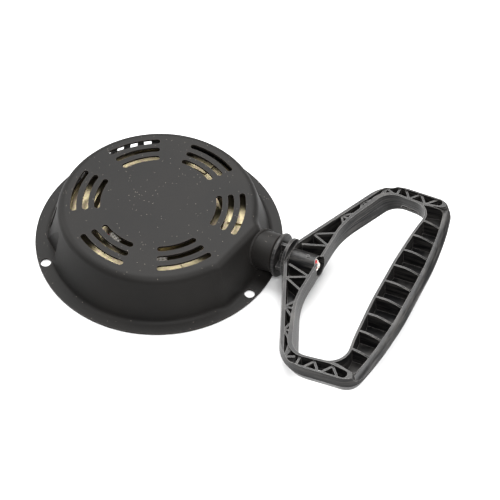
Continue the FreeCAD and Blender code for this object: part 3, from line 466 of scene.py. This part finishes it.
def sweep_tube(name, route, radius, sides, spacing, plait_depth=0.0):
    """A closed tube along a route. Its UV map holds metres along it and the share of a turn round it."""
    points, length = evenly(route, spacing)
    rings = []
    normal = Vector((0, 0, 1))
    for i, point in enumerate(points):
        heading = (points[min(i + 1, len(points) - 1)] - points[max(i - 1, 0)]).normalized()
        normal = (normal - heading * normal.dot(heading)).normalized()
        side = heading.cross(normal)
        along = length * i / (len(points) - 1)
        ring = []
        for k in range(sides):
            around = k / sides
            lean = along / PLAIT_PITCH
            plait = (math.sin(TAU * (lean + PLAITS_ROUND * around))
                     * math.sin(TAU * (lean - PLAITS_ROUND * around)))
            reach = radius - plait_depth * (1 - plait) / 2
            ring.append(point + (normal * math.cos(TAU * around) + side * math.sin(TAU * around)) * reach)
        rings.append(ring)
    vertices = [p for ring in rings for p in ring]
    faces = []
    uvs = []
    last = len(rings) - 1
    for i in range(last):
        for k in range(sides):
            following = (k + 1) % sides
            near_ring = i * sides
            far_ring = near_ring + sides
            faces.append((near_ring + k, near_ring + following, far_ring + following, far_ring + k))
            here = length * i / last
            there = length * (i + 1) / last
            turn_start = k / sides
            turn_end = (k + 1) / sides
            uvs += [(here, turn_start), (here, turn_end), (there, turn_end), (there, turn_start)]
    for end, order in ((0, range(sides - 1, -1, -1)), (last, range(sides))):
        faces.append([end * sides + k for k in order])
        uvs += [(length * end / last, k / sides) for k in order]
    mesh = bpy.data.meshes.new(name)
    mesh.from_pydata(vertices, [], faces)
    layer = mesh.uv_layers.new(name="rope")
    for corner, uv in zip(layer.data, uvs):
        corner.uv = uv
    mesh.polygons.foreach_set("use_smooth", [len(face) == 4 for face in faces])
    piece = bpy.data.objects.new(name, mesh)
    bpy.context.scene.collection.objects.link(piece)
    print(name, round(length / MM, 1), "mm long,", len(faces), "faces")
    return piece


def add_piece(piece, body, slot, *replaced):
    """Gives a finished piece its material, its body and the CAD parts that it stands for."""
    piece.data.materials.clear()
    piece.data.materials.append(finish[slot])
    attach(piece, body)
    if replaced:
        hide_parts(*replaced)


# %% Wind the rope on the reel
ROPE_RADIUS = 2.5 * MM
FIRST_RADIUS = 20.8 * MM
TURN_STEP = 5.15 * MM / 2
HALF_TURNS = 8
ROPE_LEVEL = 13.4 * MM
GUIDE_BACK = 10.0 * MM
CORNERS_PER_HALF = 12

guide_bend = RIM - PULL * GUIDE_BACK
last_radius = FIRST_RADIUS + TURN_STEP * (HALF_TURNS - 1)
# the rope leaves the last half circle on a tangent through the guide's bend, and that half's centre
# turns with the coil, so the turn is settled in a few rounds
coil_turn = 0.0
for _ in range(8):
    centre = Matrix.Rotation(coil_turn, 2) @ Vector((TURN_STEP / 2, 0))
    to_bend = guide_bend.xy - centre
    coil_turn = math.atan2(to_bend.y, to_bend.x) + math.acos(last_radius / to_bend.length)

# the corners of a smooth curve stand a little outside it
corner_reach = 1 / math.cos(math.pi / CORNERS_PER_HALF / 2)
spin = Matrix.Rotation(coil_turn, 3, "Z")
corners = [spin @ Vector((FIRST_RADIUS - TURN_STEP / 2, 0, ROPE_LEVEL))]
for half in range(HALF_TURNS):
    way = 1 if half % 2 == 0 else -1
    radius = FIRST_RADIUS + TURN_STEP * half
    for step in range(CORNERS_PER_HALF):
        angle = math.pi * (step + 0.5) / CORNERS_PER_HALF
        corners.append(spin @ Vector((-way * TURN_STEP / 2 + way * radius * corner_reach * math.cos(angle),
                                      -way * radius * corner_reach * math.sin(angle), ROPE_LEVEL)))
leave = spin @ Vector((last_radius + TURN_STEP / 2, 0, ROPE_LEVEL))
corners.append(leave)
wound_rope = sweep_tube("wound_rope", smooth_route("wound_route", corners), ROPE_RADIUS - 0.02 * MM,
                        sides=28, spacing=0.6 * MM, plait_depth=0.45 * MM)
add_piece(wound_rope, "reel", "starter_rope", "rope_coil")

# %% [markdown]
# ## From the reel to the handle
# The rope leaves the reel in a straight line, bends at the guide bush, and runs out along the pull
# line into the handle. This stretch is one piece. The part between the guide and the handle grows
# when the handle is pulled, so it is a smooth tube with many rings there, and its plaits are drawn
# by the finish.

# %% Run the rope out
heading = (guide_bend - leave).normalized()
run_corners = [leave + heading * 0.05 * MM]
for share in (0.35, 0.7):
    run_corners.append(leave.lerp(guide_bend, share))
run_corners += [guide_bend - heading * 6 * MM, guide_bend + PULL * 6 * MM, RIM]
run_corners += [RIM + PULL * distance * MM for distance in (8.0, 16.0, 24.2)]
rope_run = sweep_tube("rope_run", smooth_route("run_route", run_corners), ROPE_RADIUS - 0.1 * MM,
                      sides=24, spacing=0.5 * MM)
rope_run.data.materials.append(braided_polyester("braided_polyester_on_the_pull_line", along_pull=True))
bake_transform(rope_run)
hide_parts("rope_lead", "rope_tail")

# %% [markdown]
# ## The knots
# An overhand knot stops the rope at each end. A knot like that is a trefoil: a line that winds twice
# round a ring while it bobs three times over and under itself. Here the line is left open, with a
# short tail, and drawn tight by scaling it down until its loops press on each other.

# %% Tie the knots
KNOT_CORNERS = 26
# how much of the closed trefoil is left out at its start, and how much of it is drawn
KNOT_START = 0.04
KNOT_SHARE = 0.92
KNOT_DISTANCE = 26.6 * MM
UP = Vector((0, 0, 1))


def overhand_knot(name, place, axis, size, thickness):
    """A tight overhand knot round axis. size is the trefoil's own unit."""
    turn_to = UP.rotation_difference(axis).to_matrix()
    corners = []
    for i in range(KNOT_CORNERS):
        t = TAU * (KNOT_START + KNOT_SHARE * i / (KNOT_CORNERS - 1))
        corner = Vector((math.sin(t) + 2 * math.sin(2 * t), math.cos(t) - 2 * math.cos(2 * t),
                         -1.15 * math.sin(3 * t))) * size
        corners.append(place + turn_to @ corner)
    return sweep_tube(name, smooth_route(name + "_route", corners), thickness, sides=20,
                      spacing=0.4 * MM, plait_depth=0.3 * MM)


handle_knot = overhand_knot("handle_rope_knot", RIM + PULL * KNOT_DISTANCE, PULL, size=0.95 * MM,
                            thickness=1.75 * MM)
add_piece(handle_knot, "rope_end", "starter_rope", "handle_knot")
knot_low, knot_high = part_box("reel_knot")
reel_knot = overhand_knot("reel_rope_knot", (knot_low + knot_high) / 2, UP, size=0.42 * MM,
                          thickness=1.15 * MM)
add_piece(reel_knot, "reel", "starter_rope", "reel_knot")

# %% [markdown]
# ## Torsion springs of the pawls
# Each pawl is held in by a small wire spring that sits round its pin: two and a half turns of wire
# with one leg along the pawl. A turn of wire is a helix, so the route is worked out by a loop.

# %% Wind the pawl springs
PIN_RADIUS_ON_REEL = 20.0 * MM
WIRE_RADIUS = 0.28 * MM
WINDING_RADIUS = 3.55 * MM
WINDING_HEIGHT = 1.0 * MM
WINDING_TURNS = 2.5
WINDING_STEPS = 40


def pawl_spring(node, pin_side):
    low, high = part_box(node)
    pin = Vector((pin_side * PIN_RADIUS_ON_REEL, 0, (low.z + high.z) / 2))
    corners = []
    for i in range(WINDING_STEPS + 1):
        share = i / WINDING_STEPS
        angle = TAU * WINDING_TURNS * share
        corners.append(pin + Vector((WINDING_RADIUS * math.cos(angle), WINDING_RADIUS * math.sin(angle),
                                     (share - 0.5) * WINDING_HEIGHT)))
    leg_start = corners[-1]
    corners += [leg_start + Vector((0, -2.5 * MM, 0)), leg_start + Vector((0.2 * MM, -5.6 * MM, 0))]
    if pin_side > 0:
        # the other spring is the same one, turned half a turn round the pin
        corners = [Vector((2 * pin.x - c.x, -c.y, c.z)) for c in corners]
    piece = sweep_tube(node + "_wire", smooth_route(node + "_route", corners), WIRE_RADIUS, sides=8,
                       spacing=0.35 * MM)
    add_piece(piece, "reel", "spring_steel", node)


pawl_spring("pawl_spring_a", 1)
pawl_spring("pawl_spring_b", -1)

# %% [markdown]
# ## Weld round the outlet
# The outlet tube is welded to the flat of the case and the coat runs into the corner as a soft
# fillet. A ring the size of the tube is added on the pull line, and then each point slides along
# that line until it lies on the case's flat, which leans back and is turned a little aside.

# %% Weld round the outlet
TUBE_RADIUS = 13.0 * MM
BEAD_RADIUS = 1.0 * MM
CASE_HEIGHT = 33.0 * MM
WALL_FLARE = 10.6 * MM
FLAT_FROM_AXIS = 64.4 * MM
FLAT_TURN = math.radians(-9.0)
FLAT_LEAN = math.atan2(WALL_FLARE, CASE_HEIGHT)
FLAT_DISTANCE = (FLAT_FROM_AXIS + WALL_FLARE) * math.cos(FLAT_LEAN)
flat_normal = Vector((math.cos(FLAT_TURN) * math.cos(FLAT_LEAN), math.sin(FLAT_TURN) * math.cos(FLAT_LEAN),
                      math.sin(FLAT_LEAN)))
bpy.ops.object.select_all(action="DESELECT")
bpy.ops.mesh.primitive_torus_add(major_segments=96, minor_segments=12,
                                 major_radius=TUBE_RADIUS + 0.1 * MM, minor_radius=BEAD_RADIUS)
weld = bpy.context.object
weld.name = "outlet_weld"
lay_over = Vector((0, 0, 1)).rotation_difference(PULL).to_matrix()
for vertex in weld.data.vertices:
    spot = RIM + lay_over @ vertex.co
    ring = spot - PULL * (spot - RIM).dot(PULL)
    slide = (FLAT_DISTANCE - ring.dot(flat_normal)) / PULL.dot(flat_normal)
    # a weld isn't even: it swells and shrinks a little as it goes round
    angle = math.atan2(vertex.co.y, vertex.co.x)
    swell = 1 + 0.12 * math.sin(7 * angle) + 0.08 * math.sin(17 * angle + 1.0)
    vertex.co = spot + PULL * slide + (spot - ring) * (swell - 1)
bpy.ops.object.shade_smooth()
add_piece(weld, "case", "case_powder_coat")
